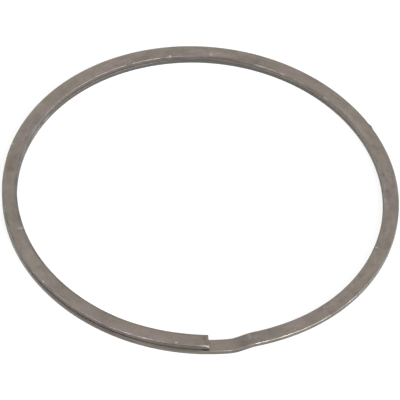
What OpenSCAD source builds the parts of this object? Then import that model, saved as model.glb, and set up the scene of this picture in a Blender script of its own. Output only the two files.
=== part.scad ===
// Two-turn spiral ring, wound on edge from one length of flat steel wire.
// Origin: on the bore's axis, in the plane that the lower turn rests on. +Z is up.
// Angles are in degrees, counter-clockwise from +X as seen from above.

/* [Ring] */
// Diameter of the upper turn's bore
bore_d = 46.26; // [36:0.02:60]

/* [Wire] */
// Width of the flat wire, measured along the ring's radius
wire_w = 1.87; // [1.2:0.01:3]
// Thickness of the flat wire, measured along the ring's axis
wire_t = 0.63; // [0.4:0.01:1.2]
// Radius of the wire's rolled edges
edge_r = 0.12; // [0.04:0.01:0.18]

/* [Turns] */
// Axial gap between the lower turn and the upper one
turn_gap = 0.06; // [0.03:0.01:0.4]

/* [Lower turn] */
// Angle of the lower turn's cut end
low_end_a = -64; // [-65:0.5:20]
// How far the first arc's centre stands off the bore's axis
low_off = 0.38; // [0:0.01:0.6]
// Direction in which the first arc's centre stands off
low_off_a = 59.5; // [0:0.5:110]
// Change of radius along the first arc, which runs from the cut end
first_dr = -0.293; // [-0.6:0.001:0]
// Angle at which the first arc gives way to the flatter middle one
first_to_a = 100; // [80:1:140]
// Change of radius along the middle arc
middle_dr = 0.228; // [0:0.001:0.6]
// Angle at which the middle arc gives way to the last one
middle_to_a = 205; // [160:1:230]
// Change of radius along the last arc, which runs to the offset bend
last_dr = -0.262; // [-0.5:0.001:0]

/* [Offset bend] */
// Angle at which the wire begins to rise from the lower turn
bend_a = 283; // [278:0.5:286]
// Angle that the rise to the upper turn takes
rise_span = 7.5; // [6:0.5:10]
// Angle over which the wire settles sideways onto the upper turn's circle
settle_span = 25; // [16:1:40]

/* [Upper end] */
// Angle of the upper turn's cut end, on its second time round
up_end_a = 635.9; // [600:0.1:637]
// Angle over which the free end springs clear of the lower turn
spring_span = 28; // [10:1:40]
// Lift of the free end at its cut
end_lift = 0.19; // [0:0.01:0.4]
// Twist of the free end at its cut, outer edge up
end_twist = 4; // [0:0.5:8]

/* [Hidden] */

thinning = 0.01;   // how much thinner than the wound wire a bent stretch is, on every side
lap_a = 0.5;       // how far a thinned stretch runs on inside its neighbours
edge_steps = 3;    // facets in a quarter turn of a rolled edge, where the wire is bent
bend_step = 1;     // angle between stations along the offset bend
spring_step = 1.5; // angle between stations along the sprung end
$fn = 180;

bore_r = bore_d / 2;
up_z = wire_t + turn_gap;
settled_a = bend_a + settle_span;
sprung_a = up_end_a - spring_span;

// Centres of the lower turn's three arcs: each meets the next one without a kink.
first_c = low_off * dir(low_off_a);
middle_c = first_c + (first_dr - middle_dr) * dir(first_to_a);
last_c = middle_c + (middle_dr - last_dr) * dir(middle_to_a);

function dir(a) = [cos(a), sin(a)];
function ease(f) = (1 - cos(180 * min(max(f, 0), 1))) / 2;
function mix(a, b, f) = a + (b - a) * f;

// Centres of the rolled edges, anticlockwise from the upper outer one, on wire thinned by s.
function edge_centres(s) =
    let (near = s + edge_r, out = wire_w - s - edge_r, top = wire_t - s - edge_r)
    [[out, top], [near, top], [near, near], [out, near]];

// Outline of the bent wire's section, turned by twist about its middle.
function section_points(twist) =
    let (mid = [wire_w, wire_t] / 2, centres = edge_centres(thinning))
    [
        for (q = [0:3], k = [0:edge_steps])
            let (p = centres[q] + edge_r * dir(90 * (q + k / edge_steps)) - mid)
            [p.x * cos(twist) - p.y * sin(twist), p.x * sin(twist) + p.y * cos(twist)] + mid
    ];

// A station is [angle, centre of curvature, inner radius, height, twist].
function ring_points(st) = [
    for (p = section_points(st[4]))
        [st[1].x + (st[2] + p.x) * cos(st[0]), st[1].y + (st[2] + p.x) * sin(st[0]), st[3] + p.y]
];

function bend_station(a) =
    let (settle = ease((a - bend_a) / settle_span))
    [a, mix(last_c, [0, 0], settle), bore_r + mix(last_dr, 0, settle),
     up_z * ease((a - bend_a) / rise_span), 0];

function spring_station(a) =
    let (f = max(a - sprung_a, 0) / spring_span)
    [a, [0, 0], bore_r, up_z + end_lift * sin(90 * f), end_twist * f * f];

// Angles from one end of a bent stretch to the other, no further apart than step.
function spread(from_a, to_a, step) =
    let (n = ceil((to_a - from_a) / step))
    [for (i = [0:n]) mix(from_a, to_a, i / n)];

module wire_section(s) {
    translate([s + edge_r, s]) square([wire_w - 2 * (s + edge_r), wire_t - 2 * s]);
    translate([s, s + edge_r]) square([wire_w - 2 * s, wire_t - 2 * (s + edge_r)]);
    for (c = edge_centres(s)) translate(c) circle(r = edge_r, $fn = 24);
}

// A stretch of wire wound true about centre c, its inner wall at radius r.
module wound(from_a, to_a, c, r, z, s = 0) {
    translate([c.x, c.y, z])
        rotate([0, 0, from_a])
            rotate_extrude(angle = to_a - from_a)
                translate([r, 0]) wire_section(s);
}

// A stretch of wire bent through a list of stations, closed by a flat face at each end.
module bent(stations) {
    m = 4 * (edge_steps + 1);
    n = len(stations) - 1;
    sides = [
        for (i = [0:n - 1], j = [0:m - 1])
            let (a = i * m + j, b = i * m + (j + 1) % m)
            each [[a, b, b + m], [a, b + m, a + m]]
    ];
    polyhedron(
        points = [for (st = stations) each ring_points(st)],
        faces = concat([[for (j = [m - 1:-1:0]) j]], sides, [[for (j = [0:m - 1]) n * m + j]])
    );
}

module lower_turn() {
    wound(low_end_a, first_to_a, first_c, bore_r + first_dr, 0);
    wound(first_to_a - lap_a, middle_to_a + lap_a, middle_c, bore_r + middle_dr, 0, thinning);
    wound(middle_to_a, bend_a, last_c, bore_r + last_dr, 0);
}

module offset_bend() {
    bent([for (a = spread(bend_a - lap_a, settled_a + lap_a, bend_step)) bend_station(a)]);
}

module upper_turn() {
    wound(settled_a, sprung_a, [0, 0], bore_r, up_z);
}

module sprung_end() {
    bent([for (a = spread(sprung_a - lap_a, up_end_a, spring_step)) spring_station(a)]);
}

module spiral_ring() {
    color([0.47, 0.44, 0.41]) union() {
        lower_turn();
        offset_bend();
        upper_turn();
        sprung_end();
    }
}

spiral_ring();
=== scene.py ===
import logging
import math
from dataclasses import dataclass, field
from enum import Enum
from typing import Any, Sequence

import bpy
from mathutils import Matrix, Vector


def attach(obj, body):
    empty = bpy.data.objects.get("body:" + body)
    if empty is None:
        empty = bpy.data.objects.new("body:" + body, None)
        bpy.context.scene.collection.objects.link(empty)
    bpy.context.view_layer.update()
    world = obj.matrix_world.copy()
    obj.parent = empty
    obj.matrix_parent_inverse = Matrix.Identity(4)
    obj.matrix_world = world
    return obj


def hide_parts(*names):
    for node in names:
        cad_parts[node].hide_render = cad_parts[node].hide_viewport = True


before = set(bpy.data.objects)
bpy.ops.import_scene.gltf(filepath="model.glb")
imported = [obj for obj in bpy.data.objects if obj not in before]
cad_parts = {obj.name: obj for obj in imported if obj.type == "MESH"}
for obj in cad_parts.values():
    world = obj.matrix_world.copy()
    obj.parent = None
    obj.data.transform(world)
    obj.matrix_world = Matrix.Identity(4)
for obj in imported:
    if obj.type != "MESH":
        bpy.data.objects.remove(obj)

# Dresses a spiral retaining ring, wound on edge from one length of flat steel wire.
#
# Lengths are in metres, unless a name ends in _mm or a class says otherwise. Angles are in degrees,
# counter-clockwise from +X as seen from above, and run on from the lower turn's cut end to the
# upper turn's cut end.

LOG = logging.getLogger("spiral_ring")
MM = 0.001
FULL_TURN = 360.0

Colour = tuple[float, float, float]
Triple = tuple[float, float, float]
Span = tuple[float, float]
Socket = bpy.types.NodeSocket


class Stretch(Enum):
    """The stretches of the wire, in the order in which they follow one another."""

    LOWER_TURN = "lower turn"
    OFFSET_BEND = "offset bend"
    UPPER_TURN = "upper turn"
    SPRUNG_END = "sprung end"


class Tone(Enum):
    """The colour that a mark leaves on the steel."""

    PALE = (0.38, 0.36, 0.34)
    SILVER = (0.50, 0.47, 0.44)
    GREY = (0.13, 0.125, 0.115)
    BROWN = (0.13, 0.095, 0.08)
    PURPLE = (0.19, 0.145, 0.14)
    OLIVE = (0.20, 0.185, 0.135)
    RUST = (0.28, 0.205, 0.14)
    COOL = (0.30, 0.30, 0.295)
    ROSE = (0.275, 0.22, 0.20)


@dataclass(frozen=True)
class Mark:
    """A small mark on the upper side of the wire; some are painted highlights, shade and
    reflections.

    Attributes:
        angle: Where along the wire it is, in degrees on the same count as the stretches.
        across_mm: How far from the middle of the wire's width, outwards.
        length_mm: Its length along the wire.
        width_mm: Its width across the wire.
        tone: Its colour.
        strength: How far it hides the steel, from 0 to 1.
        raised_mm: How far it stands proud, or is pressed in where negative.
    """

    angle: float
    across_mm: float
    length_mm: float
    width_mm: float
    tone: Tone
    strength: float
    raised_mm: float = 0.0


# Where marks overlap, a later one covers an earlier one.
MARKS = (
    # COOL at 153 to 169: painted reflections on the lower turn's inner edge.
    Mark(153.0, -0.92, 1.8, 0.55, Tone.COOL, 0.85),
    Mark(160.0, -0.92, 3.4, 0.55, Tone.COOL, 0.9),
    Mark(169.0, -0.92, 2.6, 0.55, Tone.COOL, 0.7),
    # Painted highlight along the lower turn's outer upper edge.
    Mark(208.0, 0.92, 9.0, 0.35, Tone.PALE, 0.6),
    # Painted shade on the lower turn beside the upper cut end.
    Mark(276.5, 0.00, 0.5, 2.4, Tone.GREY, 0.5),
    Mark(280.5, 0.00, 5.0, 2.6, Tone.ROSE, 0.5),
    Mark(286.8, 0.25, 0.8, 1.4, Tone.PURPLE, 0.4),
    # Painted highlight across the crest of the offset bend.
    Mark(289.0, -0.35, 0.5, 1.2, Tone.PALE, 0.28),
    Mark(295.6, 0.00, 2.1, 2.2, Tone.GREY, 0.22),
    Mark(294.8, -0.60, 1.2, 0.5, Tone.GREY, 0.25),
    Mark(301.0, 0.00, 9.0, 2.6, Tone.GREY, 0.12),
    Mark(302.0, 0.50, 0.3, 0.3, Tone.PALE, 0.5),
    Mark(308.0, 0.35, 0.5, 0.4, Tone.BROWN, 0.35),
    Mark(315.5, -0.60, 0.9, 0.5, Tone.GREY, 0.3),
    Mark(330.8, -0.50, 0.9, 0.7, Tone.GREY, 0.45, -0.02),
    Mark(333.2, 0.35, 0.5, 0.5, Tone.RUST, 0.5),
    Mark(343.5, -0.75, 0.3, 0.7, Tone.SILVER, 0.6, -0.03),
    # Painted highlight on the upper turn's inner edge.
    Mark(363.0, -0.85, 1.0, 0.3, Tone.PALE, 0.6),
    Mark(366.9, -0.50, 0.9, 0.8, Tone.GREY, 0.62, -0.03),
    Mark(368.6, 0.45, 0.6, 0.5, Tone.BROWN, 0.22),
    Mark(373.6, -0.60, 0.9, 0.5, Tone.BROWN, 0.4),
    Mark(385.0, -0.30, 1.6, 1.0, Tone.BROWN, 0.28),
    Mark(393.0, 0.93, 0.6, 0.5, Tone.BROWN, 0.25, 0.1),
    # SILVER at 410 to 434.5 on the inner edge: painted highlights, in short pieces.
    Mark(410.0, -0.90, 1.0, 0.3, Tone.SILVER, 0.5),
    Mark(420.0, -0.90, 1.2, 0.3, Tone.SILVER, 0.3),
    Mark(423.0, 0.00, 10.0, 2.6, Tone.ROSE, 0.3),
    Mark(426.8, -0.90, 1.0, 0.3, Tone.SILVER, 0.35),
    Mark(430.5, 0.00, 1.6, 1.5, Tone.OLIVE, 0.45),
    Mark(434.5, -0.90, 1.6, 0.3, Tone.SILVER, 0.35),
    Mark(446.0, -0.92, 7.5, 0.35, Tone.BROWN, 0.65),
    Mark(450.8, -0.45, 0.5, 0.9, Tone.SILVER, 0.45),
    Mark(451.0, -0.25, 9.0, 1.0, Tone.PALE, 0.12),
    # Painted highlight on the inner edge.
    Mark(464.0, -0.80, 0.5, 0.4, Tone.SILVER, 0.8),
    Mark(466.2, -0.92, 1.1, 0.35, Tone.BROWN, 0.75),
    Mark(472.0, -0.35, 4.0, 0.5, Tone.GREY, 0.28),
    Mark(478.0, -0.92, 1.6, 0.35, Tone.BROWN, 0.75),
    Mark(482.0, -0.40, 1.0, 0.4, Tone.BROWN, 0.35),
    Mark(493.5, -0.30, 0.7, 0.5, Tone.GREY, 0.3),
    # COOL at 512 and 520: painted reflections on the upper turn's inner rim.
    Mark(512.0, -0.93, 3.0, 0.4, Tone.COOL, 0.6),
    Mark(520.0, -0.93, 4.0, 0.4, Tone.COOL, 0.6),
    Mark(543.0, 0.00, 13.0, 2.6, Tone.PURPLE, 0.2),
    Mark(525.0, -0.55, 1.4, 0.5, Tone.GREY, 0.42),
    Mark(528.5, -0.10, 3.0, 1.0, Tone.PURPLE, 0.3),
    Mark(528.5, 0.80, 0.4, 0.4, Tone.SILVER, 0.5),
    Mark(536.0, 0.20, 3.0, 1.0, Tone.BROWN, 0.2),
    Mark(536.4, -0.80, 1.0, 0.4, Tone.GREY, 0.35),
    Mark(538.4, 0.00, 1.0, 1.3, Tone.BROWN, 0.4),
    Mark(550.0, 0.75, 3.0, 0.5, Tone.PURPLE, 0.5),
    Mark(562.0, -0.55, 0.5, 1.1, Tone.SILVER, 0.4, -0.02),
    Mark(562.0, 0.92, 15.0, 0.35, Tone.BROWN, 0.45),
    Mark(567.0, 0.00, 5.0, 2.6, Tone.GREY, 0.2),
    Mark(571.5, -0.05, 0.7, 0.6, Tone.RUST, 0.35),
    Mark(573.5, -0.70, 1.7, 0.5, Tone.GREY, 0.4),
    Mark(578.0, 0.00, 0.8, 1.0, Tone.BROWN, 0.28),
    # Painted highlight where the bright line along the outer edge begins.
    Mark(583.0, 0.85, 0.4, 0.3, Tone.SILVER, 0.9),
    Mark(595.6, -0.20, 1.2, 1.2, Tone.OLIVE, 0.35),
    Mark(615.0, 0.00, 12.0, 2.6, Tone.ROSE, 0.3),
    Mark(627.0, 0.70, 0.4, 0.4, Tone.SILVER, 0.7),
    # Painted highlight along the upper cut's drawn-out outer corner.
    Mark(634.9, 0.90, 2.1, 0.26, Tone.SILVER, 0.55),
    Mark(635.0, -0.25, 0.8, 1.1, Tone.BROWN, 0.5),
)


def heading(angle: float) -> Vector:
    """Returns the unit vector in plan that points at an angle in degrees."""
    return Vector((math.cos(math.radians(angle)), math.sin(math.radians(angle)), 0.0))


def eased(share: float) -> float:
    """Returns share eased in and out between 0 and 1."""
    return (1 - math.cos(math.pi * min(max(share, 0.0), 1.0))) / 2


@dataclass(frozen=True)
class Cloud:
    """A cloudy pattern that swings around a half.

    Attributes:
        density: How many clouds there are along each millimetre of each coordinate.
        seed: Picks one of many patterns.
        detail: How many finer octaves are added.
        roughness: How strong each finer octave is, against the one before.
    """

    density: Triple
    seed: float
    detail: float
    roughness: float = 0.6


class NodeSheet:
    """Adds nodes to a tree and joins them, so that the trees below read from top to bottom."""

    def __init__(self, tree: bpy.types.NodeTree) -> None:
        """Keeps the tree that the nodes go into."""
        self.tree = tree

    def add(self, kind: str, settings: dict[str, Any] | None = None,
            **inputs: Any) -> bpy.types.Node:
        """Adds a node.

        Args:
            kind: The node's class name in Blender.
            settings: Properties to set on the node before its inputs.
            inputs: What goes into its sockets, by the socket's name with underscores for spaces, or
                by its number as i0, i1 and so on. A node or a socket is linked and a value is set.

        Returns:
            The new node.
        """
        node = self.tree.nodes.new(kind)
        for name, value in (settings or {}).items():
            setattr(node, name, value)
        for name, value in inputs.items():
            if name[0] == "i" and name[1:].isdigit():
                socket = node.inputs[int(name[1:])]
            else:
                socket = node.inputs[name.replace("_", " ")]
            self.join(value, socket)
        return node

    def join(self, value: Any, socket: bpy.types.NodeSocket) -> None:
        """Links a node or a socket to a socket, or sets the socket's own value."""
        if isinstance(value, bpy.types.Node):
            value = value.outputs[0]
        if isinstance(value, bpy.types.NodeSocket):
            self.tree.links.new(value, socket)
        else:
            socket.default_value = value

    def math(self, operation: str, *values: Any) -> Socket:
        """Returns the result of a Math node on up to three values."""
        node = self.add("ShaderNodeMath", {"operation": operation})
        for value, socket in zip(values, node.inputs):
            self.join(value, socket)
        return node.outputs[0]

    def times(self, first: Any, *others: Any) -> Any:
        """Returns the product of all the values."""
        for other in others:
            first = self.math("MULTIPLY", first, other)
        return first

    def vector(self, operation: str, *values: Any) -> Socket:
        """Returns the result of a Vector Math node on up to three values."""
        node = self.add("ShaderNodeVectorMath", {"operation": operation})
        for value, socket in zip(values, node.inputs):
            self.join(value, socket)
        return node.outputs["Value" if operation == "LENGTH" else "Vector"]

    def span(self, value: Any, low: Any, high: Any, to_low: Any = 0.0,
             to_high: Any = 1.0) -> Socket:
        """Returns value carried smoothly from one range to another, and held at its ends."""
        node = self.add("ShaderNodeMapRange", {"interpolation_type": "SMOOTHSTEP"})
        for item, socket in zip((value, low, high, to_low, to_high), node.inputs):
            self.join(item, socket)
        return node.outputs[0]

    def rise(self, value: Any, start: float, rise: Span) -> Socket:
        """Returns a share that grows from 0 to 1 between two distances past start."""
        return self.span(value, start + rise[0], start + rise[1])

    def between(self, value: Any, low: float, high: float, soft: float) -> Socket:
        """Returns 1 where value lies between low and high, falling to 0 over soft outside them."""
        return self.times(self.span(value, low - soft, low),
                          self.span(value, high, high + soft, 1.0, 0.0))

    def noise(self, place: Any, cloud: Cloud) -> Socket:
        """Returns a cloud's value at a place in millimetres."""
        node = self.add("ShaderNodeTexNoise", {"noise_dimensions": "4D"},
                        Vector=self.vector("MULTIPLY", place, cloud.density), W=cloud.seed,
                        Scale=1.0, Detail=cloud.detail, Roughness=cloud.roughness)
        return node.outputs[0]

    def swing(self, level: Any, cloud: Any, depth: Any) -> Socket:
        """Returns a level with the swing of a cloud's value added, times a depth."""
        return self.math("MULTIPLY_ADD", self.math("SUBTRACT", cloud, 0.5), depth, level)

    def shaded(self, level: Any, share: Any, change: float) -> Socket:
        """Returns a level that goes over to its product with change, by share."""
        return self.times(level, self.math("MULTIPLY_ADD", share, change - 1, 1.0))

    def blend(self, share: Any, first: Any, second: Any) -> Socket:
        """Returns a colour between two colours, by share."""
        node = self.add("ShaderNodeMix", {"data_type": "RGBA"}, i0=share)
        for colour, socket in ((first, node.inputs[6]), (second, node.inputs[7])):
            self.join((*colour, 1.0) if isinstance(colour, tuple) else colour, socket)
        return node.outputs[2]


@dataclass(frozen=True)
class Laps:
    """Lengths along the wire, in mm, between which its scuffs and painted light and shade change.

    Attributes:
        bare_from: Where the lower turn comes out from under the upper one.
        free_from: Where the upper turn's end begins to spring clear of the lower turn.
        shaded_inside: The stretch of the lower turn with painted shade on its inner side.
        shaded_outside: The stretch of the lower turn with painted shade on its outer edge.
        dark_rim_from: From where the upper turn's inner edge has a painted dark reflection.
    """

    bare_from: float
    free_from: float
    shaded_inside: Span
    shaded_outside: Span
    dark_rim_from: float


@dataclass(frozen=True)
class WearAndPaintedLightZones:
    """The parts of the wire with scuffs and with painted light and shade, each as a share from 0 to
    1.

    Attributes:
        sides: The two narrow sides with their rolled edges, given painted shade.
        early_wall: Painted light on the outer side of the lower turn and the upper one's near half.
        late_wall: Painted shade on the outer side of the far half of the upper turn.
        rubbed_and_highlit: The open upper edges, light with scuffs and painted highlights, less so
            along the inner one.
        painted_shade: Painted shade under the upper turn, and a painted dark reflection on its
            inner rim.
        facing: Painted light where the turns face each other across the gap, lifting the shade in
            the seam.
    """

    sides: Socket
    early_wall: Socket
    late_wall: Socket
    rubbed_and_highlit: Socket
    painted_shade: Socket
    facing: Socket


@dataclass(frozen=True)
class WearAndPaintedLightPattern:
    """Where the wire is scuffed, and where it gets painted light and shade.

    Distances are in millimetres. A rise is the pair of distances past a place between which a
    share grows from 0 to 1.

    Attributes:
        side_rise: Across the wire, past the start of a side's rolled edge.
        face_rise: Up or down, past the start of a face's rolled edge.
        bare_rise: Along the wire, past where the lower turn comes out into the open.
        free_rise: Along the wire, past where the upper end begins to spring clear.
        patches: The pattern that breaks up the scuffs and painted highlights on the edges.
        patch_span: The pattern's values between which an edge goes from plain to scuffed and
            highlit.
        patch_share: How scuffed and highlit an edge is at those two values.
        inner_rub: How scuffed and highlit the inner edge is, against the outer one.
        rim_rise: Inwards across the wire, past the start of the inner rolled edge.
        dark_rim_rise: Along the wire, past where the inner edge's painted dark reflection begins.
        dark_rim_share: How dark that reflection is where the edge is least and most scuffed and
            highlit.
        inside_fade: Over what length the painted shade on the inner side thins out.
        inside_share: How dark the painted shade on the inner side is.
        outside_fade: Over what length the painted shade on the outer edge thins out.
        outside_share: How dark the painted shade on the outer edge is.
        facing_reach: How far in from the middle of the width the free end's painted seam light
            reaches.
    """

    side_rise: Span = (-0.04, 0.05)
    face_rise: Span = (-0.03, 0.05)
    bare_rise: Span = (-0.8, -0.3)
    free_rise: Span = (0.0, 5.0)
    patches: Cloud = Cloud((0.45, 0.2, 0.2), 14.0, 4.0)
    patch_span: Span = (0.36, 0.6)
    patch_share: Span = (0.2, 0.8)
    inner_rub: float = 0.45
    rim_rise: Span = (-0.32, -0.02)
    dark_rim_rise: Span = (0.0, 8.0)
    dark_rim_share: Span = (0.65, 0.15)
    inside_fade: float = 5.0
    inside_share: float = 0.6
    outside_fade: float = 3.0
    outside_share: float = 0.3
    facing_reach: float = 0.4

    def zones(self, sheet: NodeSheet, place: Socket, wire: "FlatWire", laps: Laps) -> WearAndPaintedLightZones:
        """Finds the parts of the wire with scuffs and with painted light and shade.

        Args:
            sheet: Where the nodes go.
            place: The wire's own coordinates, in millimetres.
            wire: The wire, for where its rolled edges are.
            laps: Where along the wire its scuffs and painted light and shade change.

        Returns:
            The zones.
        """
        run, across, height = sheet.add("ShaderNodeSeparateXYZ", i0=place).outputs
        inwards, downwards = (sheet.times(item, -1.0) for item in (across, height))
        side = (wire.width / 2 - wire.edge_radius) / MM
        face = (wire.thickness / 2 - wire.edge_radius) / MM
        sides = sheet.rise(sheet.math("ABSOLUTE", across), side, self.side_rise)
        inner = sheet.times(sides, sheet.math("LESS_THAN", across, 0.0))
        outer = sheet.math("SUBTRACT", sides, inner)
        top = sheet.rise(height, face, self.face_rise)
        foot = sheet.rise(downwards, face, self.face_rise)
        bare = sheet.rise(run, laps.bare_from, self.bare_rise)
        free = sheet.rise(run, laps.free_from, self.free_rise)
        late_wall = sheet.times(outer, sheet.span(run, laps.bare_from, laps.dark_rim_from))
        early_wall = sheet.math("SUBTRACT", outer, late_wall)

        patchy = sheet.span(sheet.noise(place, self.patches), *self.patch_span, *self.patch_share)
        # Scuffed upper edges, made lighter still as painted highlights.
        edges = sheet.math("MULTIPLY_ADD", inner, self.inner_rub, outer)
        rubbed_and_highlit = sheet.times(edges, top, patchy, bare)

        # Painted shade: a painted dark reflection along the upper turn's inner rim, and painted
        # shade on the lower turn under the upper one.
        painted_shade = sheet.times(sheet.rise(run, laps.dark_rim_from, self.dark_rim_rise),
                            sheet.rise(inwards, side, self.rim_rise), top,
                            sheet.span(patchy, *self.patch_share, *self.dark_rim_share))
        inside = sheet.between(run, *laps.shaded_inside, self.inside_fade)
        outside = sheet.between(run, *laps.shaded_outside, self.outside_fade)
        for share in (sheet.times(outer, top, outside, self.outside_share),
                      sheet.times(inner, inside, self.inside_share)):
            painted_shade = sheet.math("MAXIMUM", painted_shade, share)

        # Painted light on the faces that meet across the gap between the turns, to lift the seam's
        # shade.
        covered = sheet.math("SUBTRACT", 1.0, bare)
        flat_top = sheet.times(top, sheet.math("SUBTRACT", 1.0, sides))
        under = sheet.times(foot, sheet.span(inwards, 0.0, self.facing_reach, free, bare))
        facing = sheet.math("MAXIMUM", sheet.times(flat_top, covered), under)
        return WearAndPaintedLightZones(sides, early_wall, late_wall, rubbed_and_highlit, painted_shade, facing)


@dataclass(frozen=True)
class BareSteel:
    """Bare spring steel: dull, warm grey and mottled, with a faint grain along the wire.

    Attributes:
        mauve, olive: The two tints that the bare steel goes between.
        worn, burnished, grimy: Colours for highlit scuffs, painted seam light and painted shade.
        side_shade, early_shade, late_shade: Painted shade and light on the sides and outer walls.
        fine, broad, grain, speck: The patterns that make the steel lighter and darker.
        fine_mottle, broad_mottle, grain_mottle, speck_mottle: How far each one does so.
        tint, broad_tint: The patterns that take the steel from one tint to the other.
        speck_tint: How far the specks do so too.
        tint_span: The patterns' values between which the tint changes.
        rough_mottle: How far the fine pattern changes the roughness.
        relief: The depth of the surface's unevenness, in metres.
        relief_grain: The grain's part in that depth.
        mark_depth: How far down a side a mark reaches, in millimetres.
        mark_rim: Where a mark starts and stops fading, as shares of its half size.
        rag_density, rag_detail: The pattern that makes the rims of the marks ragged.
        wear_and_light: Where the wire is scuffed, and where it gets painted light and shade.
    """

    mauve: Colour = (0.237, 0.194, 0.178)
    olive: Colour = (0.214, 0.194, 0.157)
    worn_and_highlit: Colour = (0.39, 0.365, 0.34)
    seam_light: Colour = (0.52, 0.47, 0.42)
    painted_shade: Colour = (0.095, 0.099, 0.10)
    side_shade: float = 0.76
    early_shade: float = 1.08
    late_shade: float = 0.9
    metallic: float = 0.85
    roughness: float = 0.37
    worn_roughness: float = 0.22
    rough_mottle: float = 0.25
    fine: Cloud = Cloud((0.8, 1.7, 1.7), 2.0, 4.0)
    fine_mottle: float = 0.88
    broad: Cloud = Cloud((0.07, 0.2, 0.2), 5.0, 2.0)
    broad_mottle: float = 1.0
    grain: Cloud = Cloud((0.3, 7.0, 7.0), 8.0, 3.0)
    grain_mottle: float = 0.22
    speck: Cloud = Cloud((2.6, 3.2, 3.2), 21.0, 2.0)
    speck_mottle: float = 0.35
    tint: Cloud = Cloud((1.2, 1.8, 1.8), 11.0, 4.0)
    broad_tint: Cloud = Cloud((0.06, 0.2, 0.2), 17.0, 1.0)
    speck_tint: float = 0.5
    tint_span: Span = (0.79, 1.21)
    relief: float = 0.012 * MM
    relief_grain: float = 0.5
    mark_depth: float = 0.25
    mark_rim: Span = (0.35, 1.15)
    rag_density: Triple = (3.0, 3.0, 3.0)
    rag_detail: float = 2.0
    wear_and_light: WearAndPaintedLightPattern = WearAndPaintedLightPattern()

    def material(self, wire: "FlatWire", laps: Laps,
                 marks: Sequence[tuple[float, Mark]]) -> bpy.types.Material:
        """Builds the steel.

        Args:
            wire: The wire, for where its rolled edges are.
            laps: Where along the wire its scuffs and painted light and shade change.
            marks: Each mark with the length of wire up to it, in metres.

        Returns:
            A material that reads the wire's own coordinates.
        """
        material = bpy.data.materials.new("bare_steel")
        material.use_nodes = True
        material.node_tree.nodes.clear()
        sheet = NodeSheet(material.node_tree)
        metres = sheet.add("ShaderNodeAttribute", {"attribute_name": "unwound"}).outputs["Vector"]
        place = sheet.vector("MULTIPLY", metres, (1 / MM, 1 / MM, 1 / MM))

        fine, broad, grain, speck = (sheet.noise(place, cloud)
                                     for cloud in (self.fine, self.broad, self.grain, self.speck))
        level: Any = 1.0
        for value, depth in ((fine, self.fine_mottle), (broad, self.broad_mottle),
                             (grain, self.grain_mottle), (speck, self.speck_mottle)):
            level = sheet.swing(level, value, depth)
        hue = sheet.math("ADD", sheet.noise(place, self.tint), sheet.noise(place, self.broad_tint))
        hue = sheet.span(sheet.swing(hue, speck, self.speck_tint), *self.tint_span)

        zones = self.wear_and_light.zones(sheet, place, wire, laps)
        # Painted shade on the sides, painted light on the early outer wall, and painted shade on
        # the late one.
        for share, change in ((zones.sides, self.side_shade), (zones.early_wall, self.early_shade),
                              (zones.late_wall, self.late_shade)):
            level = sheet.shaded(level, share, change)
        steel = sheet.add("ShaderNodeVectorMath", {"operation": "SCALE"},
                          i0=sheet.blend(hue, self.mauve, self.olive), Scale=level).outputs[0]
        # Light edges for scuffs and painted highlights, painted light in the seam, then painted
        # shade.
        for share, tone in ((zones.rubbed_and_highlit, self.worn_and_highlit), (zones.facing, self.seam_light),
                            (zones.painted_shade, self.painted_shade)):
            steel = sheet.blend(share, steel, tone)
        for run, mark in marks:
            steel = sheet.blend(self._mask(sheet, place, wire, run, mark), steel, mark.tone.value)

        rough = sheet.swing(self.roughness, fine, self.rough_mottle)
        smoother = self.worn_roughness - self.roughness
        rough = sheet.math("MULTIPLY_ADD", zones.rubbed_and_highlit, smoother, rough)
        height = sheet.math("MULTIPLY_ADD", grain, self.relief_grain, fine)
        bump = sheet.add("ShaderNodeBump", Strength=1.0, Distance=self.relief, Height=height)
        shader = sheet.add("ShaderNodeBsdfPrincipled", Base_Color=steel, Roughness=rough,
                           Metallic=self.metallic, Normal=bump)
        sheet.add("ShaderNodeOutputMaterial", Surface=shader)
        return material

    def _mask(self, sheet: NodeSheet, place: Socket, wire: "FlatWire", run: float,
              mark: Mark) -> Socket:
        """Returns where a mark lies on the wire, with a ragged rim.

        Args:
            sheet: Where the nodes go.
            place: The wire's own coordinates, in millimetres.
            wire: The wire, for the height of its upper face.
            run: The length of wire up to the mark, in metres.
            mark: The mark.

        Returns:
            The socket that holds the mark's share, from 0 to its strength.
        """
        centre = (run / MM, mark.across_mm, wire.thickness / 2 / MM)
        shrink = (2 / mark.length_mm, 2 / mark.width_mm, 1 / self.mark_depth)
        apart = sheet.vector("MULTIPLY", sheet.vector("SUBTRACT", place, centre), shrink)
        ragged = sheet.noise(place, Cloud(self.rag_density, mark.angle, self.rag_detail))
        distance = sheet.swing(sheet.vector("LENGTH", apart), ragged, 1.0)
        return sheet.span(distance, *self.mark_rim, mark.strength, 0.0)


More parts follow.
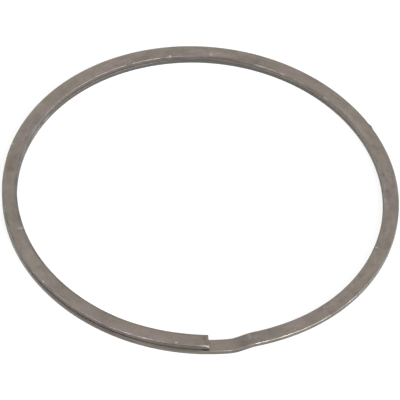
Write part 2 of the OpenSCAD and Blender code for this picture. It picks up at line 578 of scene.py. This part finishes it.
@dataclass
class FlatWire:
    """The flat wire's section, and the tree that sweeps it along a path.

    Attributes:
        width: Its size across the ring's radius.
        thickness: Its size along the ring's axis.
        edge_radius: The radius of its rolled edges.
        edge_facets: How many facets a rolled edge has.
        face_cuts: How many times each face is cut along the wire.
    """

    width: float = 1.87 * MM
    thickness: float = 0.63 * MM
    edge_radius: float = 0.12 * MM
    edge_facets: int = 6
    face_cuts: int = 6

    def sweep_tree(self) -> bpy.types.GeometryNodeTree:
        """Builds the tree that sweeps the section along a path of edges."""
        tree = bpy.data.node_groups.new("wire_sweep", "GeometryNodeTree")
        ports = tree.interface
        ports.new_socket("Path", in_out="INPUT", socket_type="NodeSocketGeometry")
        for name in ("Wire Width", "Wire Thickness", "Edge Radius"):
            ports.new_socket(name, in_out="INPUT", socket_type="NodeSocketFloat")
        for name in ("Edge Facets", "Face Cuts"):
            ports.new_socket(name, in_out="INPUT", socket_type="NodeSocketInt")
        ports.new_socket("Steel", in_out="INPUT", socket_type="NodeSocketMaterial")
        ports.new_socket("Wire", in_out="OUTPUT", socket_type="NodeSocketGeometry")
        sheet = NodeSheet(tree)
        given = sheet.add("NodeGroupInput").outputs

        twist, fullness = (
            sheet.add("GeometryNodeInputNamedAttribute", {"data_type": "FLOAT"}, Name=name)
            for name in ("twist", "fullness"))
        path = sheet.add("GeometryNodeMeshToCurve", i0=given["Path"])
        path = sheet.add("GeometryNodeSetCurveNormal", {"mode": "Z_UP"}, i0=path)
        path = sheet.add("GeometryNodeSetCurveTilt", i0=path, Tilt=twist.outputs["Attribute"])
        along = sheet.add("GeometryNodeSplineParameter").outputs["Length"]
        path, run = self._capture(sheet, path, along, "FLOAT")

        blank = sheet.add("GeometryNodeCurvePrimitiveQuadrilateral", Width=given["Wire Width"],
                          Height=given["Wire Thickness"])
        blank = sheet.add("GeometryNodeSubdivideCurve", i0=blank, Cuts=given["Face Cuts"])
        index = sheet.add("GeometryNodeInputIndex")
        corner = sheet.math("MODULO", index, sheet.math("ADD", given["Face Cuts"], 1.0))
        corner = sheet.math("LESS_THAN", corner, 0.5)
        rolled = sheet.add("GeometryNodeFilletCurve", {"mode": "POLY"}, i0=blank,
                           Count=given["Edge Facets"],
                           Radius=sheet.times(corner, given["Edge Radius"]))
        position = sheet.add("GeometryNodeInputPosition")
        rolled, section = self._capture(sheet, rolled, position, "VECTOR")

        swept = sheet.add("GeometryNodeCurveToMesh", i0=path, Profile_Curve=rolled, Fill_Caps=True,
                          Scale=fullness.outputs["Attribute"])
        parts = sheet.add("ShaderNodeSeparateXYZ", i0=section)
        unwound = sheet.add("ShaderNodeCombineXYZ", X=run, Y=parts.outputs["X"],
                            Z=sheet.times(parts.outputs["Y"], -1.0))
        swept = sheet.add("GeometryNodeStoreNamedAttribute",
                          {"data_type": "FLOAT_VECTOR", "domain": "POINT"},
                          i0=swept, Name="unwound", Value=unwound)
        swept = sheet.add("GeometryNodeSetShadeSmooth", i0=swept, Shade_Smooth=True)
        swept = sheet.add("GeometryNodeRealizeInstances", i0=swept)
        swept = sheet.add("GeometryNodeSetMaterial", i0=swept, Material=given["Steel"])
        sheet.add("NodeGroupOutput", i0=swept)
        return tree

    @staticmethod
    def _capture(sheet: NodeSheet, geometry: Any, value: Any, kind: str) -> tuple[Socket, Socket]:
        """Keeps a value on a geometry's points.

        Args:
            sheet: Where the nodes go.
            geometry: The curve that the value is kept on.
            value: The value to keep.
            kind: FLOAT or VECTOR.

        Returns:
            The geometry and the kept value.
        """
        node = sheet.add("GeometryNodeCaptureAttribute", {"domain": "POINT"})
        node.capture_items.new(kind, "kept")
        sheet.join(geometry, node.inputs[0])
        sheet.join(value, node.inputs[1])
        return node.outputs[0], node.outputs[1]

    def sweep(self, path: bpy.types.Object, steel: bpy.types.Material) -> bpy.types.Mesh:
        """Sweeps the section along a path.

        Args:
            path: An object whose mesh is the chain of stations.
            steel: The wire's finish.

        Returns:
            The wire as a plain mesh.
        """
        tree = self.sweep_tree()
        modifier = path.modifiers.new("sweep", "NODES")
        modifier.node_group = tree
        values = {"Wire Width": self.width, "Wire Thickness": self.thickness,
                  "Edge Radius": self.edge_radius, "Edge Facets": self.edge_facets,
                  "Face Cuts": self.face_cuts, "Steel": steel}
        for item in tree.interface.items_tree:
            if item.in_out == "INPUT" and item.name in values:
                modifier[item.identifier] = values[item.name]
        seen = path.evaluated_get(bpy.context.evaluated_depsgraph_get())
        mesh = bpy.data.meshes.new_from_object(seen)
        path.modifiers.remove(modifier)
        return mesh


@dataclass(frozen=True)
class Station:
    """One place along the middle of the wire.

    Attributes:
        place: Position in metres.
        twist: Turn of the section about the wire, in radians, outer edge up.
        fullness: Size of the section there, where 1 is the whole wire.
    """

    place: Vector
    twist: float
    fullness: float


@dataclass
class SpiralRing:
    """The ring: two full turns of one wire, joined by an offset bend.

    Attributes:
        wire: The wire that it is wound from.
        finish: The wire's finish.
        marks: The small marks on the wire.
        bore_radius: Radius of the upper turn's inner wall.
        turn_gap: Gap between the turns, along the axis.
        low_end_angle: Angle of the lower turn's cut end.
        low_offset: How far the first arc's centre stands off the bore's axis.
        low_offset_angle: Direction in which it stands off.
        first_change, middle_change, last_change: Changes of radius along the lower turn's arcs.
        first_to_angle, middle_to_angle: Angles at which the first two arcs end.
        bend_angle: Where the wire begins to rise from the lower turn.
        rise_span: Angle that the rise takes.
        settle_span: Angle over which the wire settles onto the upper turn's circle.
        up_end_angle: Angle of the upper turn's cut end, on its second time round.
        spring_span: Angle over which the free end springs clear.
        end_lift, end_twist: Lift and twist of the free end at its cut.
        station_step, close_step: Angle between stations, and near raised marks and the upper cut.
        close_reach: Angle from such a place within which stations stand closer.
        cut_round: Angle over which a cut end's rim is rounded off.
        cut_stations: How many stations the rounding takes.
        cut_loss: How much smaller the section is at a cut.
        shear_reach: Length of wire that the shears drew out of shape.
        shear_droop, shear_draw: How far the upper cut's outer corner is drawn down and along.
        shear_from: Where across the wire that begins, as a share of the half width.
        shaded_inside, shaded_outside: Angles between which the lower turn gets painted shade.
        dark_rim_from_angle: Angle from which the upper turn's inner edge has a painted dark
            reflection.
    """

    wire: FlatWire = field(default_factory=FlatWire)
    finish: BareSteel = field(default_factory=BareSteel)
    marks: Sequence[Mark] = MARKS
    bore_radius: float = 23.13 * MM
    turn_gap: float = 0.06 * MM
    low_end_angle: float = -64.0
    low_offset: float = 0.38 * MM
    low_offset_angle: float = 59.5
    first_change: float = -0.293 * MM
    first_to_angle: float = 100.0
    middle_change: float = 0.228 * MM
    middle_to_angle: float = 205.0
    last_change: float = -0.262 * MM
    bend_angle: float = 283.0
    rise_span: float = 7.5
    settle_span: float = 25.0
    up_end_angle: float = 636.15
    spring_span: float = 28.0
    end_lift: float = 0.19 * MM
    end_twist: float = 4.0
    station_step: float = 0.5
    close_step: float = 0.12
    close_reach: float = 1.5
    cut_round: float = 0.25
    cut_stations: int = 5
    cut_loss: float = 0.05
    shear_reach: float = 0.6 * MM
    shear_droop: float = 0.42 * MM
    shear_draw: float = 0.17 * MM
    shear_from: float = 0.35
    shaded_inside: Span = (55.0, 138.0)
    shaded_outside: Span = (232.0, 274.0)
    dark_rim_from_angle: float = 525.0

    def stretch_at(self, angle: float) -> Stretch:
        """Returns the stretch that an angle falls on."""
        if angle < self.bend_angle:
            return Stretch.LOWER_TURN
        if angle < self.bend_angle + self.settle_span:
            return Stretch.OFFSET_BEND
        if angle < self.up_end_angle - self.spring_span:
            return Stretch.UPPER_TURN
        return Stretch.SPRUNG_END

    def lower_arc(self, angle: float) -> tuple[Vector, float]:
        """Returns the centre and the change of radius of the lower turn's arc at an angle."""
        centre = self.low_offset * heading(self.low_offset_angle)
        if angle < self.first_to_angle:
            return centre, self.first_change
        centre += (self.first_change - self.middle_change) * heading(self.first_to_angle)
        if angle < self.middle_to_angle:
            return centre, self.middle_change
        centre += (self.middle_change - self.last_change) * heading(self.middle_to_angle)
        return centre, self.last_change

    def fullness(self, angle: float) -> float:
        """Returns the section's size at an angle: the cut ends are rounded off a little."""
        left = min(angle - self.low_end_angle, self.up_end_angle - angle) / self.cut_round
        return 1 - self.cut_loss * (1 - math.sqrt(max(1 - max(1 - left, 0.0) ** 2, 0.0)))

    def station(self, angle: float) -> Station:
        """Returns the middle of the wire at an angle."""
        upper = self.wire.thickness + self.turn_gap
        stretch = self.stretch_at(angle)
        centre, change, height, twist = Vector((0, 0, 0)), 0.0, upper, 0.0
        if stretch is Stretch.LOWER_TURN:
            centre, change = self.lower_arc(angle)
            height = 0.0
        elif stretch is Stretch.OFFSET_BEND:
            last_centre, last_change = self.lower_arc(self.bend_angle)
            left = 1 - eased((angle - self.bend_angle) / self.settle_span)
            centre, change = last_centre * left, last_change * left
            height = upper * eased((angle - self.bend_angle) / self.rise_span)
        elif stretch is Stretch.SPRUNG_END:
            share = max((angle - self.up_end_angle) / self.spring_span + 1, 0.0)
            height = upper + self.end_lift * math.sin(0.5 * math.pi * share)
            twist = math.radians(self.end_twist) * share ** 2
        radius = self.bore_radius + change + self.wire.width / 2
        place = centre + radius * heading(angle)
        place.z = height + self.wire.thickness / 2
        return Station(place, twist, self.fullness(angle))

    def angles(self) -> list[float]:
        """Returns the angles of the stations, closer together at cut ends and at raised marks."""
        spots = [mark.angle for mark in self.marks if mark.raised_mm] + [self.up_end_angle]
        first, last = self.low_end_angle + self.cut_round, self.up_end_angle - self.cut_round
        body = [first]
        while body[-1] < last:
            near = min(abs(body[-1] - spot) for spot in spots) < self.close_reach
            body.append(body[-1] + (self.close_step if near else self.station_step))
        body[-1] = last
        rim = [self.cut_round * (1 - math.sin(0.5 * math.pi * i / self.cut_stations))
               for i in range(self.cut_stations, 0, -1)]
        return ([self.low_end_angle + r for r in rim] + body
                + [self.up_end_angle - r for r in reversed(rim)])

    def run_to(self, angle: float) -> float:
        """Returns the length of wire from the lower turn's cut end to an angle, in metres."""
        stops = [a for a in self.angles() if a < angle] + [angle]
        places = [self.station(a).place for a in stops]
        return sum((b - a).length for a, b in zip(places, places[1:]))

    def path_object(self) -> bpy.types.Object:
        """Builds the chain of stations as an object with a mesh of edges."""
        stations = [self.station(a) for a in self.angles()]
        mesh = bpy.data.meshes.new("wire_path")
        mesh.from_pydata([s.place for s in stations],
                         [(i, i + 1) for i in range(len(stations) - 1)], [])
        for name, values in (("twist", [-s.twist for s in stations]),
                             ("fullness", [s.fullness for s in stations])):
            mesh.attributes.new(name, "FLOAT", "POINT").data.foreach_set("value", values)
        path = bpy.data.objects.new("wire_path", mesh)
        bpy.context.scene.collection.objects.link(path)
        return path

    @staticmethod
    def press(mesh: bpy.types.Mesh, marks: Sequence[tuple[float, Mark]]) -> None:
        """Raises burrs on the wire and presses nicks and pits into it.

        Args:
            mesh: The swept wire.
            marks: Each mark with the length of wire up to it, in metres.
        """
        places, normals = ([0.0] * (3 * len(mesh.vertices)) for _ in range(2))
        mesh.attributes["unwound"].data.foreach_get("vector", places)
        mesh.vertices.foreach_get("normal", normals)
        for run, mark in marks:
            if not mark.raised_mm:
                continue
            for index, (along, across, height) in enumerate(zip(*[iter(places)] * 3)):
                if height > 0 and abs(along - run) < mark.length_mm * MM:
                    apart = math.hypot((along - run) / mark.length_mm,
                                       (across - mark.across_mm * MM) / mark.width_mm) / MM
                    outwards = Vector(normals[3 * index:3 * index + 3])
                    mesh.vertices[index].co += outwards * mark.raised_mm * MM * (1 - eased(apart))

    def shear(self, mesh: bpy.types.Mesh) -> None:
        """Draws the upper cut's outer corner down and along, as shears leave it.

        Args:
            mesh: The swept wire.
        """
        end = self.run_to(self.up_end_angle)
        onward = heading(self.up_end_angle + 90)
        for vertex, item in zip(mesh.vertices, mesh.attributes["unwound"].data):
            run, across, height = item.vector
            if end - run < self.shear_reach:
                out = 2 * across / self.wire.width
                outer = eased((out - self.shear_from) / (1 - self.shear_from))
                upper = 0.5 + height / self.wire.thickness
                near = 1 - (end - run) / self.shear_reach
                vertex.co.z -= self.shear_droop * outer * upper * near ** 2
                vertex.co += onward * self.shear_draw * outer * near ** 2

    def laps(self) -> Laps:
        """Returns where along the wire its scuffs and painted light and shade change."""
        starts = (self.up_end_angle - FULL_TURN, self.up_end_angle - self.spring_span,
                  self.dark_rim_from_angle)
        bare, free, dull = (self.run_to(angle) / MM for angle in starts)
        inside, outside = (tuple(self.run_to(angle) / MM for angle in pair)
                           for pair in (self.shaded_inside, self.shaded_outside))
        return Laps(bare, free, inside, outside, dull)

    def build(self) -> bpy.types.Object:
        """Winds the ring and puts it in the place of its solid."""
        marks = [(self.run_to(mark.angle), mark) for mark in self.marks]
        steel = self.finish.material(self.wire, self.laps(), marks)
        path = self.path_object()
        mesh = self.wire.sweep(path, steel)
        self.press(mesh, marks)
        self.shear(mesh)
        mesh.name = "ring_wire"
        ring = bpy.data.objects.new("ring_wire", mesh)
        bpy.context.scene.collection.objects.link(ring)
        bpy.data.objects.remove(path)
        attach(ring, "root")
        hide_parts("spiral_ring")
        return ring


@dataclass(frozen=True)
class Lamp:
    """A soft oblong lamp that faces the ring.

    Attributes:
        name: The lamp's name.
        azimuth: Its direction in plan from the ring, in degrees.
        elevation: Its height above the floor as seen from the ring, in degrees.
        width: Its side that lies level.
        height: Its other side.
        watts: Its power.
    """

    name: str
    azimuth: float
    elevation: float
    width: float
    height: float
    watts: float

    def hang(self, reach: float) -> None:
        """Hangs the lamp at a distance from the ring."""
        data = bpy.data.lights.new(self.name, "AREA")
        data.shape = "RECTANGLE"
        data.size, data.size_y = self.width, self.height
        data.energy = self.watts
        lamp = bpy.data.objects.new(self.name, data)
        rise = math.radians(self.elevation)
        lamp.location = reach * math.cos(rise) * heading(self.azimuth)
        lamp.location.z = reach * math.sin(rise)
        lamp.rotation_euler = (-lamp.location).to_track_quat("-Z", "Y").to_euler()
        bpy.context.scene.collection.objects.link(lamp)


@dataclass
class Studio:
    """The floor, the lamps and the camera.

    Attributes:
        lamps: The lamps.
        lamp_reach: How far the lamps hang from the ring.
        world_level: How bright the surround lights the ring. It shows as white.
        floor_half: Half the side of the floor.
        floor_drop: How far the floor lies below the ring.
        floor_albedo: How much light the floor throws back.
        floor_glow: What the floor adds to that where it shows.
        view_elevation, view_roll, view_distance: The camera's place and roll.
        lens, sensor: The camera's focal length and the width of its frame.
        look_from_height: Height of the point that the camera stands off from.
        aim: The point at the middle of the picture.
    """

    lamps: tuple[Lamp, ...] = (
        Lamp("key_lamp", -48, 40, 0.5, 0.3, 11.0),
        Lamp("side_lamp", -15, 28, 1.0, 0.35, 8.0),
        Lamp("fill_lamp", -122, 40, 0.3, 0.3, 5.0),
        Lamp("back_lamp", 90, 50, 1.5, 1.5, 2.0),
    )
    lamp_reach: float = 1.5
    world_level: float = 0.6
    floor_half: float = 3.0
    floor_drop: float = 0.01 * MM
    floor_albedo: float = 0.4
    floor_glow: float = 0.74
    view_elevation: float = 49.031
    view_roll: float = 5.28
    view_distance: float = 0.42525
    lens: float = 304.34
    sensor: float = 36.0
    look_from_height: float = 0.00132
    aim: Triple = (-0.000028, -0.000882, 0.000554)

    @staticmethod
    def _shown(sheet: NodeSheet) -> Socket:
        """Returns 1 for a ray that shows the background, straight, mirrored or through glass."""
        rays = sheet.add("ShaderNodeLightPath").outputs
        mirrored = sheet.math("MAXIMUM", rays["Is Glossy Ray"], rays["Is Transmission Ray"])
        return sheet.math("MAXIMUM", rays["Is Camera Ray"], mirrored)

    def floor(self) -> bpy.types.Object:
        """Lays a plain pale floor that keeps the ring's shadow."""
        half = self.floor_half
        mesh = bpy.data.meshes.new("studio_floor")
        mesh.from_pydata([(-half, -half, 0), (half, -half, 0), (half, half, 0), (-half, half, 0)],
                         [], [(0, 1, 2, 3)])
        material = bpy.data.materials.new("pale_floor")
        material.use_nodes = True
        material.node_tree.nodes.clear()
        sheet = NodeSheet(material.node_tree)
        matt = sheet.add("ShaderNodeBsdfDiffuse", Color=(*[self.floor_albedo] * 3, 1.0))
        glow = sheet.times(self._shown(sheet), self.floor_glow)
        glow = sheet.add("ShaderNodeEmission", Strength=glow)
        both = sheet.add("ShaderNodeAddShader", i0=matt, i1=glow)
        sheet.add("ShaderNodeOutputMaterial", Surface=both)
        mesh.materials.append(material)
        floor = bpy.data.objects.new("studio_floor", mesh)
        floor.location.z = -self.floor_drop
        bpy.context.scene.collection.objects.link(floor)
        return floor

    def world(self) -> None:
        """Sets an even pale surround."""
        world = bpy.data.worlds.new("studio")
        bpy.context.scene.world = world
        world.use_nodes = True
        world.node_tree.nodes.clear()
        sheet = NodeSheet(world.node_tree)
        level = sheet.span(self._shown(sheet), 0.0, 1.0, self.world_level, 1.0)
        surround = sheet.add("ShaderNodeBackground", Strength=level)
        sheet.add("ShaderNodeOutputWorld", Surface=surround)

    def camera(self) -> None:
        """Sets the camera that sees the ring from the front and above."""
        data = bpy.data.cameras.new("camera")
        data.lens = self.lens
        data.sensor_width = self.sensor
        camera = bpy.data.objects.new("camera", data)
        rise = math.radians(self.view_elevation)
        back = Vector((0, -math.cos(rise), math.sin(rise)))
        camera.location = Vector((0, 0, self.look_from_height)) + self.view_distance * back
        turn = (Vector(self.aim) - camera.location).to_track_quat("-Z", "Y").to_matrix().to_4x4()
        roll = Matrix.Rotation(math.radians(self.view_roll), 4, "Z")
        camera.rotation_euler = (turn @ roll).to_euler()
        bpy.context.scene.collection.objects.link(camera)
        bpy.context.scene.camera = camera

    def build(self) -> None:
        """Sets up the whole studio."""
        self.floor()
        self.world()
        for lamp in self.lamps:
            lamp.hang(self.lamp_reach)
        self.camera()
        bpy.context.scene.view_settings.view_transform = "Standard"


def main() -> None:
    """Builds the ring and the studio, and logs the ring's vertex count."""
    logging.basicConfig(level=logging.INFO, format="%(name)s: %(message)s")
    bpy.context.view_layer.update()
    ring = SpiralRing().build()
    LOG.info("ring wire, %d vertices", len(ring.data.vertices))
    Studio().build()
    LOG.info("studio")


if __name__ == "__main__":
    main()
